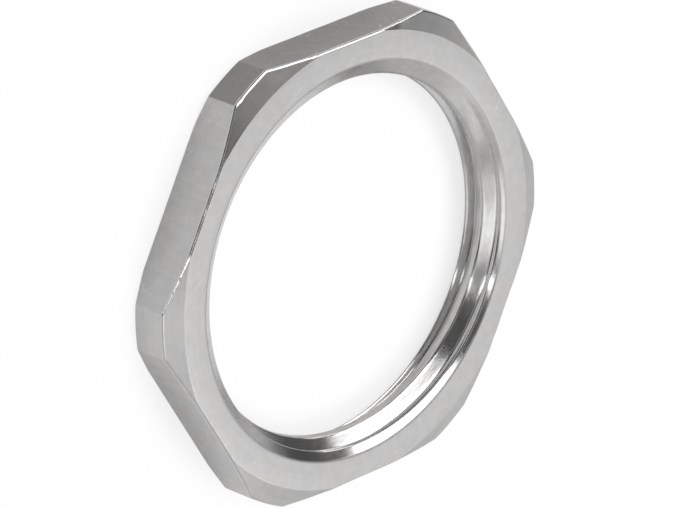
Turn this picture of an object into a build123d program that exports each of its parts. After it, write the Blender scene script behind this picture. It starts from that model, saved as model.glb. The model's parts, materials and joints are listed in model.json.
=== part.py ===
"""Thin hexagonal locknut for an M20 x 1.5 gland or conduit thread.

The nut is turned from hexagonal brass bar. It lies on its bearing face, which is
the plane z = 0, with the thread axis along +Z and two corners on the X axis.
All sizes are in millimetres and degrees.
"""
import os
from math import cos, radians, sqrt, tan

from build123d import *

# Thread, cut with the flat crests of a 60 degree metric profile. The bore is made wider than
# the thread's basic minor diameter by an allowance, which lies in the middle of class 6H.
thread_diameter = 20.0
thread_pitch = 1.5
bore_allowance = 0.15
bore_diameter = thread_diameter - thread_pitch * 5 * sqrt(3) / 8 + bore_allowance

# Hexagonal bar, wider than the thread by this wall at each flat, and the length parted off
wall_at_flats = 1.5
across_flats = thread_diameter + 2 * wall_at_flats
thickness = 2.6

# How far the lathe cuts the sharp corners of the bar back towards the axis
corner_trim = 0.63

# Conical chamfers over the corners, which start this far outside the flats
chamfer_angle = 22.5
front_chamfer_offset = 0.1
back_chamfer_offset = 0.5

# Countersinks that lead the thread in, wider than the thread by this much all round
countersink_angle = 110.0
front_countersink_margin = 0.2
back_countersink_margin = 0.05

# Rounding of the two countersink mouths
mouth_radius = 0.08

# Radii and heights that follow from the sizes above
bore_radius = bore_diameter / 2
flat_radius = across_flats / 2
corner_radius = flat_radius / cos(radians(30)) - corner_trim
front_chamfer_radius = flat_radius + front_chamfer_offset
back_chamfer_radius = flat_radius + back_chamfer_offset
chamfer_slope = tan(radians(chamfer_angle))
front_chamfer_height = (corner_radius - front_chamfer_radius) * chamfer_slope
back_chamfer_height = (corner_radius - back_chamfer_radius) * chamfer_slope
front_mouth_radius = thread_diameter / 2 + front_countersink_margin
back_mouth_radius = thread_diameter / 2 + back_countersink_margin
countersink_slope = tan(radians(90 - countersink_angle / 2))
front_countersink_depth = (front_mouth_radius - bore_radius) * countersink_slope
back_countersink_depth = (back_mouth_radius - bore_radius) * countersink_slope

os.makedirs("parts", exist_ok=True)

with BuildPart() as locknut:
    # Turned ring: its section from the bore out to the trimmed corners
    with BuildSketch(Plane.XZ):
        with BuildLine():
            Polyline(
                (back_mouth_radius, 0),
                (back_chamfer_radius, 0),
                (corner_radius, back_chamfer_height),
                (corner_radius, thickness - front_chamfer_height),
                (front_chamfer_radius, thickness),
                (front_mouth_radius, thickness),
                (bore_radius, thickness - front_countersink_depth),
                (bore_radius, back_countersink_depth),
                close=True,
            )
        make_face()
    revolve(axis=Axis.Z)

    # Rounded countersink mouths, the innermost circle on each face
    for face_height in (0, thickness):
        face_circles = (
            locknut.edges()
            .filter_by(GeomType.CIRCLE)
            .filter_by(lambda edge: abs(edge.center().Z - face_height) < mouth_radius / 2)
        )
        fillet(face_circles.sort_by(SortBy.RADIUS)[0], radius=mouth_radius)

    # The six flats of the bar
    with BuildSketch(Plane.XY):
        RegularPolygon(flat_radius, 6, major_radius=False)
    extrude(amount=thickness, mode=Mode.INTERSECT)

locknut.part.label = "locknut"
export_step(locknut.part, "parts/locknut.step")
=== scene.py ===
"""A nickel-plated brass locknut, lying on a white table top and seen by a long lens."""
import json
import math

import bmesh
import bpy
import numpy as np
from mathutils import Matrix, Vector


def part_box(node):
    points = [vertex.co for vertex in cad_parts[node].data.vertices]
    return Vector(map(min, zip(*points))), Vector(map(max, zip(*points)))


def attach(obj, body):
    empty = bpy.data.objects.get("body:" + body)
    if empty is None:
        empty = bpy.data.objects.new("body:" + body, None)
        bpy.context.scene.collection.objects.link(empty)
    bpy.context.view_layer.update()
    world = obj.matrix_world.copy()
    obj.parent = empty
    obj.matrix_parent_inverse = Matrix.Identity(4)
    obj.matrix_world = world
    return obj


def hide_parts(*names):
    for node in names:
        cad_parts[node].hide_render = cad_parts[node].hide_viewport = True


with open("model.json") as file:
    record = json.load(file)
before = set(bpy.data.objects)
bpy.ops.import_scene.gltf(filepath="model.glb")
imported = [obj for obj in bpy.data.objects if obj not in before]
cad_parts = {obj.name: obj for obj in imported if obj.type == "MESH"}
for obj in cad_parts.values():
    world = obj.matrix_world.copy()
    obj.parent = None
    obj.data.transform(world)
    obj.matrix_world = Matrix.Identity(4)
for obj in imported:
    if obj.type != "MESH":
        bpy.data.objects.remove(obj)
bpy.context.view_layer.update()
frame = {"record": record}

MM = 0.001

# The imported nut: its node, its thread, and its sizes in millimetres
NODE = "locknut"
THREAD_MOUNT = next(mount for mount in frame["record"]["mounts"] if mount["name"] == "thread")
nut_low, nut_high = (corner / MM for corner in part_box(NODE))
THICKNESS = nut_high.z - nut_low.z
FLAT_RADIUS = (nut_high.y - nut_low.y) / 2
CORNER_RADIUS = (nut_high.x - nut_low.x) / 2
CREST_RADIUS = THREAD_MOUNT["dims"]["r_mm"]

# The 60 degree thread. At the pitch radius its groove and its ridge are each half a pitch wide,
# and its start is the height of the middle of a crest at the +X axis.
THREAD_RADIUS = 10.0
PITCH = 1.5
PITCH_RADIUS = THREAD_RADIUS - PITCH * 3 * math.sqrt(3) / 16
ROOT_FLATTENING = 0.08
ROOT_RADIUS = THREAD_RADIUS - ROOT_FLATTENING
THREAD_START = 1.12

# Conical chamfers over the corners, at an angle in degrees to the faces, which start this far
# outside the flats
CHAMFER_ANGLE = 22.5
FRONT_CHAMFER_OFFSET = 0.1
BACK_CHAMFER_OFFSET = 0.5
FRONT_CHAMFER_RADIUS = FLAT_RADIUS + FRONT_CHAMFER_OFFSET
BACK_CHAMFER_RADIUS = FLAT_RADIUS + BACK_CHAMFER_OFFSET

# Countersinks that lead the thread in: the angle in degrees between their cones and the axis,
# and how much wider than the thread they are all round
COUNTERSINK_HALF_ANGLE = 55
FRONT_COUNTERSINK_MARGIN = 0.2
BACK_COUNTERSINK_MARGIN = 0.05
FRONT_MOUTH_RADIUS = THREAD_RADIUS + FRONT_COUNTERSINK_MARGIN
BACK_MOUTH_RADIUS = THREAD_RADIUS + BACK_COUNTERSINK_MARGIN

# Rounding of the edges
FRONT_EDGE_ROUNDING = 0.15
BACK_EDGE_ROUNDING = 0.07
FRONT_MOUTH_ROUNDING = 0.28
BACK_MOUTH_ROUNDING = 0.08
CORNER_ROUNDING = 0.035
THREAD_ROUNDING = 0.09

# The thread is rounded by a mean over this many heights, whose weight falls off to both ends
THREAD_SAMPLES = 9
THREAD_SAMPLE_FALL = 0.8

# Columns of the mesh round the axis: even ones, and more at these degrees from where a flat
# meets a turned corner. Columns closer together than the gap, in degrees, are left out.
COLUMNS = 620
CORNER_COLUMNS = (-0.55, -0.4, -0.27, -0.14, 0, 0.14, 0.27, 0.4, 0.55)
SMALLEST_GAP = 0.06

# Rows of the mesh down the bore and round a countersink's mouth. Rows closer than the merge
# distance become one.
BORE_ROWS = 92
MOUTH_STEPS = 4
MERGE_DISTANCE = 0.0002

# Where the rows of an edge lie, as shares of its turn: the long step at the wall is a worn bevel
WALL_EDGE_SHARES = (0, 0.2, 0.42, 1)
FACE_EDGE_SHARES = (0, 0.5, 1)

# Rows this far inside a chamfer's two sides keep its slope flat where it is shaded, and part it
# into three strips
CHAMFER_BORDER = 0.03
CHAMFER_STRIPS = 3

# The edges are worn unevenly: their rounding varies by this share, as a sum of waves does that
# each have a whole number of crests round the nut. The sum is divided by the scale.
WEAR = 0.12
WEAR_SEED = 20
WAVES = 60
FEWEST_CRESTS = 3
MOST_CRESTS = 60
WAVE_SCALE = 10

# Knocks in the front edge: the angle of each and its half width in degrees, and how much more
# the edge is rounded there
KNOCKS = ((192.7, 0.55, 0.10), (243.6, 0.7, 0.07), (287.0, 0.4, 0.05), (222.5, 0.35, 0.04))

# The surfaces of the nut, each with a material of its own, in the order of SURFACES
TURNED_FACE, TURNED_CORNER, DRAWN_FLAT, CUT_THREAD, WORN_EDGE = range(5)

# Noises on the plating: how many waves there are to a millimetre, and how detailed they are.
# Marks already have their own number of waves.
PATCH_NOISE = (0.45, 4)
MOTTLING_NOISE = (2.2, 3)
ROUGHNESS_NOISE = (1.3, 3)
GRAIN_NOISE = (9, 2)
MARK_NOISE = (1, 3)

# The values of a noise that are brought to the ends of a range, or to no and full strength
NOISE_RANGE = (0.25, 0.75)
PATCH_RANGE = (0.35, 0.65)
MOTTLING_RANGE = (0.3, 0.7)

# Colours of the plating in soft patches, as shares of its tone, and how far mottling goes
WARM = (1.012, 1.0, 0.975)
COOL = (1.0, 1.0, 1.0)
MOTTLING = 0.04

# Painted shade over one side of the nut, for the dark reflections there, takes these shares of
# its strength off red, green and blue. It fades out between two cosines of the angle from its
# middle, and noise makes that border uneven.
SIDE_SHADE = (1.0, 1.02, 1.05)
SIDE_SHADE_FADE = (0.85, 0.875)
SIDE_SHADE_NOISE = (0.9, 3)
SIDE_SHADE_UNEVENNESS = 0.02

# Painted shade in the thread, a brownish darkening of its crests and roots: its colour, how far
# off the crests and off the roots there is none and all of it, the same for heights under the
# front countersink, the number to a millimetre and length of the marks that it lies along, which
# of them it starts and ends to fill, and its most
THREAD_SHADE = (0.20, 0.172, 0.148, 1)
THREAD_SHADE_OFF_CREST = (0.10, 0.02)
THREAD_SHADE_OFF_ROOT = (0.12, 0.03)
THREAD_SHADE_HEIGHTS = (1.9, 1.75)
THREAD_SHADE_MARKS = (5, 2)
THREAD_SHADE_RANGE = (0.45, 0.75)
THREAD_SHADE_MOST = 0.6

# Scratches: their colour, how the noise whose level lines they are is stretched, its turn in
# degrees, its waves and detail, how far off its line a scratch still shows, and the noise and
# its range that choose where there are any
SCRATCH = (0.60, 0.60, 0.60, 1)
SCRATCH_STRETCH = (0.18, 3.1, 3.1)
SCRATCH_TURN = 24
SCRATCH_NOISE = (1, 0)
SCRATCH_WIDTH = 0.012
SCRATCH_PATCH_NOISE = (0.55, 1)
SCRATCH_PATCH_RANGE = (0.54, 0.6)

# A quarter turn, which lays the brushing's highlights across the marks that run round the axis
BRUSHING_TURN = 0.25

# The camera of the photograph: the direction from the nut to it and its roll in degrees, and in
# millimetres its distance, its shifts to the right and up, its sensor and its lens
VIEW_AZIMUTH = -92.28
VIEW_ELEVATION = 41.87
VIEW_ROLL = 110.84
VIEW_DISTANCE = 361.3
VIEW_RIGHT = 0.815
VIEW_UP = -0.324
SENSOR_WIDTH = 36.0
LENS = 393.4

# The nearest and farthest that the camera sees, in metres
CLIP_START = 0.01
CLIP_END = 10

# The table top. Away from the nut it turns white: each fade, one outside the nut and one in its
# hole, is the distances in metres from the axis at which it starts and ends, and the share of
# white at both. What the metal mirrors near the nut is less white than what the camera sees.
FLOOR_HALF_WIDTH = 0.6
FLOOR_ALBEDO = 0.95
SEEN_FADES = ((0.0112, 0.0135, 0.72, 0.97), (0.0094, 0.0080, 0.72, 0.97))
MIRRORED_FADES = ((0.0115, 0.0148, 0.25, 0.97), (0.0080, 0.0060, 0.0, 0.96))

# A distance from the axis that the nut covers, where the two fades meet unseen
COVERED_RADIUS = FLAT_RADIUS * MM * 0.9

# The studio: soft panels, each with its azimuth, elevation and roll, half its width and height,
# the softness of its edges, all in degrees, and its radiance. Azimuth 0 is +X and 90 is +Y.
CEILING_RADIANCE = 0.09
PANELS = {
    "side_softbox": (187.5, 43.5, 32, 25.5, 19, 1.5, 3.3),
    "wall_fill": (36, 0, 0, 87, 50, 7, 0.65),
    "high_fill": (30, 68, 0, 34, 14, 5, 0.9),
    "key": (64, 41, 0, 31, 13, 8, 0.38),
    "edge_light": (157, 14, 0, 10, 6.5, 2, 2.7),
    "corner_fill": (134, 62, 0, 16, 18, 10, 0.45),
    "camera_side_light": (-32, 61, 0, 12, 10, 3, 0.8),
    "camera_fill": (270, 50, 0, 20, 9, 5, 0.45),
    "narrow_strip": (-77, 43, -5, 2.6, 30, 0.8, 3.2),
}


def hexagon_radius(angle):
    """Distance from the axis to the hexagon, whose corners are at 0, 60, 120 ... degrees."""
    from_flat = np.mod(angle, math.pi / 3) - math.pi / 6
    return FLAT_RADIUS / np.cos(from_flat)


def smooth_minimum(first, second, width):
    """The smaller of two values, with the change between them rounded over a width."""
    share = np.clip(0.5 + 0.5 * (second - first) / width, 0, 1)
    return second + (first - second) * share - width * share * (1 - share)


def wall_radius(angle):
    """Distance from the axis to the outer wall: the flats, and the corners turned back."""
    return smooth_minimum(hexagon_radius(angle), CORNER_RADIUS, CORNER_ROUNDING)


def column_angles():
    """Even columns, with more of them where a flat meets a turned corner."""
    even = np.linspace(0, 2 * math.pi, COLUMNS, endpoint=False)
    half_corner = math.pi / 6 - math.acos(FLAT_RADIUS / CORNER_RADIUS)
    edges = [turn * math.pi / 3 + side * half_corner for turn in range(6) for side in (-1, 1)]
    extra = np.array([edge + step for edge in edges for step in np.radians(CORNER_COLUMNS)])
    angles = np.sort(np.mod(np.concatenate([even, extra]), 2 * math.pi))
    gaps = np.diff(np.append(angles, angles[0] + 2 * math.pi))
    return angles[gaps > math.radians(SMALLEST_GAP)]


def direction(degrees):
    """The level and rising parts of a direction this many degrees above level."""
    return np.array([math.cos(math.radians(degrees)), math.sin(math.radians(degrees))])


def crossing(normal_a, reach_a, normal_b, reach_b):
    """Where two lines of the section cross: points p with normal . p = reach."""
    determinant = normal_a[0] * normal_b[1] - normal_a[1] * normal_b[0]
    radius = (reach_a * normal_b[1] - reach_b * normal_a[1]) / determinant
    height = (normal_a[0] * reach_b - normal_b[0] * reach_a) / determinant
    return np.stack([radius, height], -1)


def arc(centres, radius, start, end, shares):
    """Rows of points round each column's centre, at shares of the turn between two directions."""
    outward = [direction(start + (end - start) * share) for share in shares]
    return [centres + radius[:, None] * way for way in outward]


def border_rows(wall_row, face_row):
    """The two rows just inside the chamfer between its row at the wall and its row at the face."""
    slope = face_row - wall_row
    width = np.linalg.norm(slope, axis=1)[:, None]
    share = np.minimum(CHAMFER_BORDER / np.maximum(width, MERGE_DISTANCE), 0.5)
    return [wall_row + slope * share, face_row - slope * share]


def edge_rows(walls, chamfer_start, side, rounding):
    """The rounded rows between the outer wall and a face, over the chamfer where there is one.

    The chamfer leaves the face at a point (radius, height). The side is 1 for the front face,
    where the rows end, and -1 for the back face, where they begin.
    """
    tilt = 90 - CHAMFER_ANGLE
    wall_normal, chamfer_normal, face_normal = (direction(side * way) for way in (0, tilt, 90))
    wall_reach = walls - rounding
    chamfer_reach = chamfer_start @ chamfer_normal - rounding
    face_reach = chamfer_start @ face_normal - rounding
    plain = crossing(face_normal, face_reach, wall_normal, wall_reach)
    at_face = crossing(face_normal, face_reach, chamfer_normal, chamfer_reach)
    at_wall = crossing(chamfer_normal, chamfer_reach, wall_normal, wall_reach)
    no_chamfer = (plain @ chamfer_normal <= chamfer_reach)[:, None]
    at_face = np.where(no_chamfer, plain, at_face)
    at_wall = np.where(no_chamfer, plain, at_wall)
    wall_rows = arc(at_wall, rounding, 0, side * tilt, WALL_EDGE_SHARES)
    face_rows = arc(at_face, rounding, side * tilt, side * 90, FACE_EDGE_SHARES)
    rows = wall_rows + border_rows(wall_rows[-1], face_rows[0]) + face_rows
    return rows[::side]


def mouth_rows(mouth, start, end, rounding):
    """The rows that round a countersink's mouth.

    The mouth is a point (radius, height), and its two sides face the start and end directions.
    """
    first, last = direction(start), direction(end)
    centres = crossing(first, mouth @ first - rounding, last, mouth @ last - rounding)
    return arc(centres, rounding, start, end, np.linspace(0, 1, MOUTH_STEPS + 1))


def bore_radius(angle, height):
    """Radius of the sharp-edged threaded bore, with its two countersinks."""
    half_pitch = PITCH / 2
    along_pitch = np.mod(height - THREAD_START - PITCH * angle / (2 * math.pi), PITCH)
    from_crest = np.abs(np.mod(along_pitch + half_pitch, PITCH) - half_pitch)
    flank = PITCH_RADIUS + (from_crest - PITCH / 4) * math.sqrt(3)
    thread = np.clip(flank, CREST_RADIUS, ROOT_RADIUS)
    slope = math.tan(math.radians(COUNTERSINK_HALF_ANGLE))
    front = FRONT_MOUTH_RADIUS - (THICKNESS - height) * slope
    back = BACK_MOUTH_RADIUS - height * slope
    return np.maximum(thread, np.maximum(front, back))


def bore_row(angles, height):
    """The row of the bore at a height, with the thread's edges worn round by a weighted mean."""
    offsets = np.linspace(-1, 1, THREAD_SAMPLES)
    weights = 1 - np.abs(offsets) * THREAD_SAMPLE_FALL
    sharp = [bore_radius(angles, height + offset * THREAD_ROUNDING) for offset in offsets]
    return np.stack([weights @ sharp / weights.sum(), np.full(len(angles), height)], -1)


def uneven(angles, seed):
    """A smooth random wave once round the nut, between -1 and 1."""
    chance = np.random.default_rng(seed)
    crests = chance.integers(FEWEST_CRESTS, MOST_CRESTS, WAVES)
    phases = chance.uniform(0, 2 * math.pi, WAVES)
    waves = [np.cos(count * angles + phase) for count, phase in zip(crests, phases)]
    return np.clip(np.sum(waves, 0) / WAVE_SCALE, -1, 1)


def knocks(angles):
    """Extra rounding of the front edge where it was knocked."""
    extra = np.zeros(len(angles))
    for middle, half_width, depth in KNOCKS:
        extra += depth * np.exp(-((np.degrees(angles) - middle) / half_width) ** 2)
    return extra


def nut_section(angles):
    """Rows of (radius, height) for every column, once round the nut's section."""
    walls = wall_radius(angles)
    front_rounding = FRONT_EDGE_ROUNDING * (1 + WEAR * uneven(angles, WEAR_SEED)) + knocks(angles)
    back_rounding = BACK_EDGE_ROUNDING * (1 + WEAR * uneven(angles, WEAR_SEED + 1))
    front_edge = edge_rows(walls, np.array([FRONT_CHAMFER_RADIUS, THICKNESS]), 1, front_rounding)
    back_edge = edge_rows(walls, np.array([BACK_CHAMFER_RADIUS, 0]), -1, back_rounding)

    front_soft = np.full(len(angles), FRONT_MOUTH_ROUNDING)
    back_soft = np.full(len(angles), BACK_MOUTH_ROUNDING)
    front_mouth = mouth_rows(
        np.array([FRONT_MOUTH_RADIUS, THICKNESS]), 90, 180 - COUNTERSINK_HALF_ANGLE, front_soft)
    back_mouth = mouth_rows(
        np.array([BACK_MOUTH_RADIUS, 0]), 180 + COUNTERSINK_HALF_ANGLE, 270, back_soft)

    upper = front_mouth[-1][0, 1]
    lower = back_mouth[0][0, 1]
    heights = np.linspace(upper, lower, BORE_ROWS + 2)[1:-1]
    bore = [bore_row(angles, height) for height in heights]
    return np.array(back_edge + front_edge + front_mouth + bore + back_mouth)


def strip_surfaces():
    """The surface of the strip that follows each row of the section, in the rows' order."""
    face_arc = [WORN_EDGE] * (len(FACE_EDGE_SHARES) - 1)
    wall_arc = [WORN_EDGE] * (len(WALL_EDGE_SHARES) - 1)
    chamfer = [TURNED_CORNER] * CHAMFER_STRIPS
    back_edge = face_arc + chamfer + wall_arc + [DRAWN_FLAT]
    front_edge = wall_arc + chamfer + face_arc + [TURNED_FACE]
    mouth = [TURNED_FACE] * MOUTH_STEPS
    bore = mouth + [CUT_THREAD] * (BORE_ROWS + 1) + mouth
    return back_edge + front_edge + bore + [TURNED_FACE]


def face_surfaces(angles):
    """The surface of every face: its strip's, with the walls split into flats and corners."""
    middles = angles + np.diff(np.append(angles, angles[0] + 2 * math.pi)) / 2
    from_flat = np.abs(np.mod(middles, math.pi / 3) - math.pi / 6)
    on_corner = from_flat > math.acos(FLAT_RADIUS / CORNER_RADIUS)
    strips = np.array(strip_surfaces())[:, None] + np.zeros(len(angles), int)
    return np.where((strips == DRAWN_FLAT) & on_corner, TURNED_CORNER, strips).ravel()


def merge_doubles(mesh):
    """Join the rows that coincide in the middle of the flats, where there is no chamfer."""
    edited = bmesh.new()
    edited.from_mesh(mesh)
    bmesh.ops.remove_doubles(edited, verts=edited.verts, dist=MERGE_DISTANCE * MM)
    edited.to_mesh(mesh)
    edited.free()


def ring_faces(rows, columns):
    """The corners of the faces between a ring's rows and columns, both of which close up."""
    row, column = np.meshgrid(np.arange(rows), np.arange(columns), indexing="ij")
    next_row, next_column = (row + 1) % rows, (column + 1) % columns
    this, after = row * columns, next_row * columns
    corners = (this + column, this + next_column, after + next_column, after + column)
    return np.stack([corner.ravel() for corner in corners], -1)


def build_nut():
    """One closed mesh: the section of every column, joined round the axis."""
    angles = column_angles()
    section = nut_section(angles)
    radius, height = section[..., 0], section[..., 1]
    points = np.stack([radius * np.cos(angles), radius * np.sin(angles), height], -1)
    faces = ring_faces(*section.shape[:2])
    mesh = bpy.data.meshes.new("hexagonal_locknut")
    mesh.from_pydata((points.reshape(-1, 3) * MM).tolist(), [], faces.tolist())
    mesh.polygons.foreach_set("material_index", face_surfaces(angles))
    merge_doubles(mesh)
    mesh.shade_smooth()
    piece = bpy.data.objects.new("hexagonal_locknut", mesh)
    piece.modifiers.new("weighted_normals", "WEIGHTED_NORMAL")
    bpy.context.scene.collection.objects.link(piece)
    return piece


def feed(tree, value, socket):
    """Give a socket a value: what another socket says, or numbers."""
    if isinstance(value, bpy.types.NodeSocket):
        tree.links.new(value, socket)
    else:
        socket.default_value = value


def math_node(tree, operation, first, second=0):
    """The result of a Math node on two sockets or numbers."""
    node = tree.nodes.new("ShaderNodeMath")
    node.operation = operation
    feed(tree, first, node.inputs[0])
    feed(tree, second, node.inputs[1])
    return node.outputs["Value"]


def vector_node(tree, operation, first, second=(0, 0, 0)):
    """The vector that a Vector Math node makes of a socket and a socket, vector or number."""
    node = tree.nodes.new("ShaderNodeVectorMath")
    node.operation = operation
    feed(tree, first, node.inputs[0])
    feed(tree, second, node.inputs["Scale"] if operation == "SCALE" else node.inputs[1])
    return node.outputs["Vector"]


def measure(tree, operation, place, axis=(0, 0, 0)):
    """The number that a Vector Math node makes of a vector, and of an axis if it needs one."""
    node = tree.nodes.new("ShaderNodeVectorMath")
    node.operation = operation
    feed(tree, place, node.inputs[0])
    feed(tree, axis, node.inputs[1])
    return node.outputs["Value"]


def along(tree, place, axis):
    """How far a direction or place reaches along an axis."""
    return measure(tree, "DOT_PRODUCT", place, axis)


def vector_length(tree, place):
    """The length of a vector."""
    return measure(tree, "LENGTH", place)


def map_range(tree, kind, value, numbers):
    """The result of a Map Range node on a value: from low and high, to low and high."""
    node = tree.nodes.new("ShaderNodeMapRange")
    node.interpolation_type = kind
    feed(tree, value, node.inputs["Value"])
    for name, number in zip(("From Min", "From Max", "To Min", "To Max"), numbers):
        node.inputs[name].default_value = number
    return node.outputs["Result"]


def smooth_step(tree, value, start, end):
    """0 up to the start, 1 past the end and smooth between them, whichever is the larger."""
    return map_range(tree, "SMOOTHSTEP", value, (start, end, 0, 1))


def remap(tree, value, low, high, to_low, to_high):
    """A value between low and high brought to between two others, and held there."""
    return map_range(tree, "LINEAR", value, (low, high, to_low, to_high))


def blend(tree, share, first, second):
    """A colour between two others, each a socket or four numbers."""
    node = tree.nodes.new("ShaderNodeMix")
    node.data_type = "RGBA"
    feed(tree, share, node.inputs["Factor"])
    sockets = [socket for socket in node.inputs if socket.type == "RGBA"]
    for socket, value in zip(sockets, (first, second)):
        feed(tree, value, socket)
    return next(socket for socket in node.outputs if socket.type == "RGBA")


def place_on_nut(tree):
    """The place in millimetres from the middle of the bearing face."""
    coordinates = tree.nodes.new("ShaderNodeTexCoord").outputs["Object"]
    return vector_node(tree, "SCALE", coordinates, 1 / MM)


def level_part(tree, place):
    """What a place has across the axis."""
    return vector_node(tree, "MULTIPLY", place, (1, 1, 0))


def noise(tree, place, scale, detail, fourth=None):
    """Noise with this many waves to a unit, from 0 to 1 and 0.5 on average."""
    node = tree.nodes.new("ShaderNodeTexNoise")
    node.inputs["Scale"].default_value = scale
    node.inputs["Detail"].default_value = detail
    feed(tree, place, node.inputs["Vector"])
    if fourth is not None:
        node.noise_dimensions = "4D"
        feed(tree, fourth, node.inputs["W"])
    return node.outputs["Fac"]


def turning_marks(tree, place, fineness, length):
    """Marks of a lathe tool: this many to a millimetre, and this long round the axis."""
    level = level_part(tree, place)
    around = vector_node(tree, "NORMALIZE", level)
    spread = vector_node(tree, "SCALE", around, THREAD_RADIUS / length)
    radius = math_node(tree, "MULTIPLY", vector_length(tree, level), fineness)
    height = math_node(tree, "MULTIPLY", along(tree, place, (0, 0, 1)), fineness)
    mark_place = tree.nodes.new("ShaderNodeCombineXYZ")
    feed(tree, along(tree, spread, (1, 0, 0)), mark_place.inputs["X"])
    feed(tree, along(tree, spread, (0, 1, 0)), mark_place.inputs["Y"])
    feed(tree, radius, mark_place.inputs["Z"])
    return noise(tree, mark_place.outputs["Vector"], *MARK_NOISE, height)


def drawing_marks(tree, place, fineness, length):
    """Marks of the die that the bar was drawn through: this many to a millimetre, and this long
    along the axis."""
    stretched = vector_node(tree, "MULTIPLY", place, (fineness, fineness, 1 / length))
    return noise(tree, stretched, *MARK_NOISE)


def scratches(tree, place):
    """A few hair-thin scratches: the level lines of stretched noise, where other noise is high."""
    rotate = tree.nodes.new("ShaderNodeVectorRotate")
    rotate.rotation_type = "Z_AXIS"
    rotate.inputs["Angle"].default_value = math.radians(SCRATCH_TURN)
    feed(tree, place, rotate.inputs["Vector"])
    stretched = vector_node(tree, "MULTIPLY", rotate.outputs["Vector"], SCRATCH_STRETCH)
    above = math_node(tree, "SUBTRACT", noise(tree, stretched, *SCRATCH_NOISE), 0.5)
    line = smooth_step(tree, math_node(tree, "ABSOLUTE", above), SCRATCH_WIDTH, 0)
    shown = smooth_step(tree, noise(tree, place, *SCRATCH_PATCH_NOISE), *SCRATCH_PATCH_RANGE)
    return math_node(tree, "MULTIPLY", line, shown)


def painted_side_shade(tree, place, azimuth):
    """Painted shade on the side of the nut that faces an azimuth in degrees, with an uneven border.
    """
    around = vector_node(tree, "NORMALIZE", level_part(tree, place))
    side = along(tree, around, (*direction(azimuth), 0))
    uneven_border = noise(tree, place, *SIDE_SHADE_NOISE)
    border = math_node(tree, "MULTIPLY", uneven_border, SIDE_SHADE_UNEVENNESS)
    return smooth_step(tree, math_node(tree, "ADD", side, border), *SIDE_SHADE_FADE)


def painted_thread_shade(tree, place):
    """Painted shade on the crests and in the roots of the thread, in uneven patches."""
    radius = vector_length(tree, level_part(tree, place))
    crest = smooth_step(tree, radius, *(CREST_RADIUS + gap for gap in THREAD_SHADE_OFF_CREST))
    root = smooth_step(tree, radius, *(ROOT_RADIUS - gap for gap in THREAD_SHADE_OFF_ROOT))
    below = smooth_step(tree, along(tree, place, (0, 0, 1)), *THREAD_SHADE_HEIGHTS)
    kept = math_node(tree, "MULTIPLY", math_node(tree, "ADD", crest, root), below)
    patches = remap(tree, turning_marks(tree, place, *THREAD_SHADE_MARKS), *THREAD_SHADE_RANGE, 0, THREAD_SHADE_MOST)
    return math_node(tree, "MULTIPLY", kept, patches)


def surface_relief(tree, place, marks, mark_depth, grain_depth):
    """A Bump node of tool marks over a fine grain, both as deep as said in millimetres."""
    grain = math_node(tree, "MULTIPLY", noise(tree, place, *GRAIN_NOISE), grain_depth)
    total = math_node(tree, "ADD", math_node(tree, "MULTIPLY", marks, mark_depth), grain)
    bump = tree.nodes.new("ShaderNodeBump")
    bump.inputs["Strength"].default_value = 1
    bump.inputs["Distance"].default_value = MM
    feed(tree, total, bump.inputs["Height"])
    return bump.outputs["Normal"]


def plating_colour(tree, place, pattern, tone, streaks):
    """The clean plating: warmer and cooler in soft patches, mottled, and streaked by its marks."""
    patches = smooth_step(tree, noise(tree, place, *PATCH_NOISE), *PATCH_RANGE)
    warm, cool = ([tone * part for part in tint] + [1] for tint in (WARM, COOL))
    mottles = noise(tree, place, *MOTTLING_NOISE)
    mottling = remap(tree, mottles, *MOTTLING_RANGE, 1 - MOTTLING, 1 + MOTTLING)
    streak = remap(tree, pattern, *NOISE_RANGE, 1 - streaks, 1 + streaks)
    shade = math_node(tree, "MULTIPLY", streak, mottling)
    return vector_node(tree, "SCALE", blend(tree, patches, warm, cool), shade)


def side_shaded_colour(tree, place, colour, strength, azimuth):
    """The colour with painted shade of a strength over the side that faces an azimuth in degrees.
    """
    kept = vector_node(tree, "MULTIPLY", colour, [1 - strength * part for part in SIDE_SHADE])
    return blend(tree, painted_side_shade(tree, place, azimuth), colour, kept)


def brush(tree, shader, brushing):
    """Blur what the metal shows more across the marks that run round the axis than along."""
    shader.inputs["Anisotropic"].default_value = brushing
    shader.inputs["Anisotropic Rotation"].default_value = BRUSHING_TURN
    around = tree.nodes.new("ShaderNodeTangent")
    around.direction_type = "RADIAL"
    around.axis = "Z"
    feed(tree, around.outputs["Tangent"], shader.inputs["Tangent"])


def nickel_material(name, tone, streaks, roughness, spread, brushing, marks, depths,
                    side_shaded=None, thread_shaded=False, scratched=False):
    """Worn nickel plating.

    The tone is its mean colour, and streaks is the share by which the marks darken and lighten
    it. Spread is how far the roughness wanders from its mean. Marks are a function with its
    number to a millimetre and length, and depths in millimetres are those of the marks and of
    the grain. The painted shade over one side of the nut is given by its strength and azimuth.
    """
    material = bpy.data.materials.new(name)
    material.use_nodes = True
    tree = material.node_tree
    shader = tree.nodes["Principled BSDF"]
    shader.inputs["Metallic"].default_value = 1.0
    brush(tree, shader, brushing)
    place = place_on_nut(tree)
    draw_marks, *mark_sizes = marks
    pattern = draw_marks(tree, place, *mark_sizes)
    colour = plating_colour(tree, place, pattern, tone, streaks)
    # Painted shade on the crests and in the roots of the thread
    if thread_shaded:
        colour = blend(tree, painted_thread_shade(tree, place), colour, THREAD_SHADE)
    # Painted shade over one side of the nut
    if side_shaded:
        colour = side_shaded_colour(tree, place, colour, *side_shaded)
    if scratched:
        colour = blend(tree, scratches(tree, place), colour, SCRATCH)
    wander = noise(tree, place, *ROUGHNESS_NOISE)
    blur = remap(tree, wander, *NOISE_RANGE, roughness - spread, roughness + spread)
    feed(tree, colour, shader.inputs["Base Color"])
    feed(tree, blur, shader.inputs["Roughness"])
    feed(tree, surface_relief(tree, place, pattern, *depths), shader.inputs["Normal"])
    return material


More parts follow.
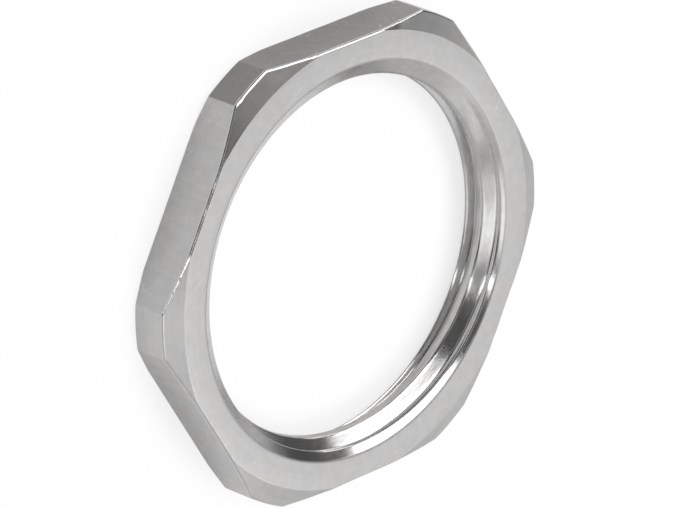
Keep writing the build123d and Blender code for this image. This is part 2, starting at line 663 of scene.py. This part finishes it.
def white_share(tree, radius, fades):
    """How white the table top is at a distance from the axis: outside the nut, or in its hole."""
    outside, inside = (
        remap(tree, smooth_step(tree, radius, start, end), 0, 1, low, high)
        for start, end, low, high in fades)
    is_outside = math_node(tree, "GREATER_THAN", radius, COVERED_RADIUS)
    beyond = math_node(tree, "MULTIPLY", outside, is_outside)
    within = math_node(tree, "MULTIPLY", inside, math_node(tree, "SUBTRACT", 1, is_outside))
    return math_node(tree, "ADD", beyond, within)


def background_share(tree):
    """How much of the table top is plain white background, for the camera and for metal and
    glass. For all other light it is none."""
    radius = vector_length(tree, tree.nodes.new("ShaderNodeTexCoord").outputs["Object"])
    path = tree.nodes.new("ShaderNodeLightPath").outputs
    mirrored = math_node(tree, "MAXIMUM", path["Is Glossy Ray"], path["Is Transmission Ray"])
    seen_white = white_share(tree, radius, SEEN_FADES)
    mirrored_white = white_share(tree, radius, MIRRORED_FADES)
    for_camera = math_node(tree, "MULTIPLY", path["Is Camera Ray"], seen_white)
    for_mirrors = math_node(tree, "MULTIPLY", mirrored, mirrored_white)
    return math_node(tree, "ADD", for_camera, for_mirrors)


def floor_material():
    """A white table top, which turns into a plain white background away from the nut."""
    material = bpy.data.materials.new("white_table_top")
    material.use_nodes = True
    tree = material.node_tree
    shader = tree.nodes["Principled BSDF"]
    shader.inputs["Base Color"].default_value = (FLOOR_ALBEDO, FLOOR_ALBEDO, FLOOR_ALBEDO, 1)
    shader.inputs["Roughness"].default_value = 1.0
    shader.inputs["Specular IOR Level"].default_value = 0.0
    white = tree.nodes.new("ShaderNodeEmission")
    mix = tree.nodes.new("ShaderNodeMixShader")
    tree.links.new(background_share(tree), mix.inputs["Fac"])
    tree.links.new(shader.outputs["BSDF"], mix.inputs[1])
    tree.links.new(white.outputs["Emission"], mix.inputs[2])
    tree.links.new(mix.outputs["Shader"], tree.nodes["Material Output"].inputs["Surface"])
    return material


def build_floor():
    """The table top, a square in the plane that the nut lies on."""
    mesh = bpy.data.meshes.new("table_top")
    half = FLOOR_HALF_WIDTH
    corners = [(-half, -half, 0), (half, -half, 0), (half, half, 0), (-half, half, 0)]
    mesh.from_pydata(corners, [], [(0, 1, 2, 3)])
    floor = bpy.data.objects.new("table_top", mesh)
    bpy.context.scene.collection.objects.link(floor)
    mesh.materials.append(floor_material())
    return floor


def towards(azimuth, elevation):
    """The direction at an azimuth, 0 for +X and 90 for +Y, and an elevation, in degrees."""
    level, rise = direction(elevation)
    return Vector((*(level * direction(azimuth)), rise))


def rolled_axes(outward, roll):
    """The right and up of what faces back along a direction, rolled by an angle in degrees."""
    level = Vector((0, 0, 1)).cross(outward).normalized()
    turn = math.radians(roll)
    right = math.cos(turn) * level + math.sin(turn) * outward.cross(level)
    return right, outward.cross(right)


def camera_matrix():
    """Where the camera is and how it is turned: rolled as the nut stands in the picture."""
    back = towards(VIEW_AZIMUTH, VIEW_ELEVATION)
    right, up = rolled_axes(back, VIEW_ROLL)
    place = (back * VIEW_DISTANCE + right * VIEW_RIGHT + up * VIEW_UP) * MM
    return Matrix.Translation(place) @ Matrix((right, up, back)).transposed().to_4x4()


def build_camera():
    """The photograph's view, through a long lens."""
    data = bpy.data.cameras.new("photograph_view")
    data.sensor_width = SENSOR_WIDTH
    data.lens = LENS
    data.clip_start = CLIP_START
    data.clip_end = CLIP_END
    camera = bpy.data.objects.new("photograph_view", data)
    camera.matrix_world = camera_matrix()
    bpy.context.scene.collection.objects.link(camera)
    bpy.context.scene.camera = camera


def panel_light(tree, sky, panel):
    """One softbox: its radiance inside a rectangle of the sky with soft edges, 0 elsewhere."""
    azimuth, elevation, roll, half_width, half_height, edge, radiance = panel
    centre = towards(azimuth, elevation)
    axes = (centre, *rolled_axes(centre, roll))
    ahead, across, above = (along(tree, sky, axis) for axis in axes)
    squares = [math_node(tree, "POWER", part, 2) for part in (ahead, across)]
    level = math_node(tree, "SQRT", math_node(tree, "ADD", *squares))
    light = radiance
    for offset, forward, half in ((across, ahead, half_width), (above, level, half_height)):
        angle = math_node(tree, "ABSOLUTE", math_node(tree, "ARCTAN2", offset, forward))
        inner, outer = math.radians(half - edge), math.radians(half + edge)
        light = math_node(tree, "MULTIPLY", smooth_step(tree, angle, outer, inner), light)
    return light


def build_world():
    """A studio of soft panels, dim between them, and white where the camera sees past the floor."""
    world = bpy.data.worlds.new("studio")
    world.use_nodes = True
    tree = world.node_tree
    sky = tree.nodes.new("ShaderNodeTexCoord").outputs["Generated"]
    seen = tree.nodes.new("ShaderNodeLightPath").outputs["Is Camera Ray"]
    light = math_node(tree, "MAXIMUM", seen, CEILING_RADIANCE)
    for panel in PANELS.values():
        light = math_node(tree, "ADD", light, panel_light(tree, sky, panel))
    feed(tree, light, tree.nodes["Background"].inputs["Strength"])
    tree.nodes["Background"].inputs["Color"].default_value = (1, 1, 1, 1)
    bpy.context.scene.world = world


# The materials of the surfaces, in the order of their numbers
SURFACES = [
    dict(name="turned_face", tone=0.49, streaks=0.03, roughness=0.29, spread=0.02, brushing=0.3,
         marks=(turning_marks, 9, 4), depths=(0.0009, 0.0007), scratched=True),
    # The turned corners get painted shade over the side that faces 225 degrees
    dict(name="turned_corner", tone=0.50, streaks=0.06, roughness=0.34, spread=0.03, brushing=0.3,
         marks=(turning_marks, 7, 3), depths=(0.0018, 0.0010), side_shaded=(0.52, 225)),
    # The flats get painted shade over the side that faces 212 degrees
    dict(name="drawn_flat", tone=0.448, streaks=0.04, roughness=0.29, spread=0.04, brushing=0.0,
         marks=(drawing_marks, 5, 2.5), depths=(0.0014, 0.0008), side_shaded=(0.43, 212),
         scratched=True),
    # The thread gets painted shade on its crests and in its roots
    dict(name="cut_thread", tone=0.52, streaks=0.04, roughness=0.19, spread=0.03, brushing=0.8,
         marks=(turning_marks, 6, 0.6), depths=(0.0055, 0.0006), thread_shaded=True),
    dict(name="worn_edge", tone=0.52, streaks=0.05, roughness=0.17, spread=0.04, brushing=0.0,
         marks=(turning_marks, 6, 0.4), depths=(0.0040, 0.0020)),
]

nut = build_nut()
for surface in SURFACES:
    nut.data.materials.append(nickel_material(**surface))
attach(nut, "root")
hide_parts(NODE)
build_floor()
build_camera()
build_world()

bpy.context.scene.view_settings.view_transform = "Standard"
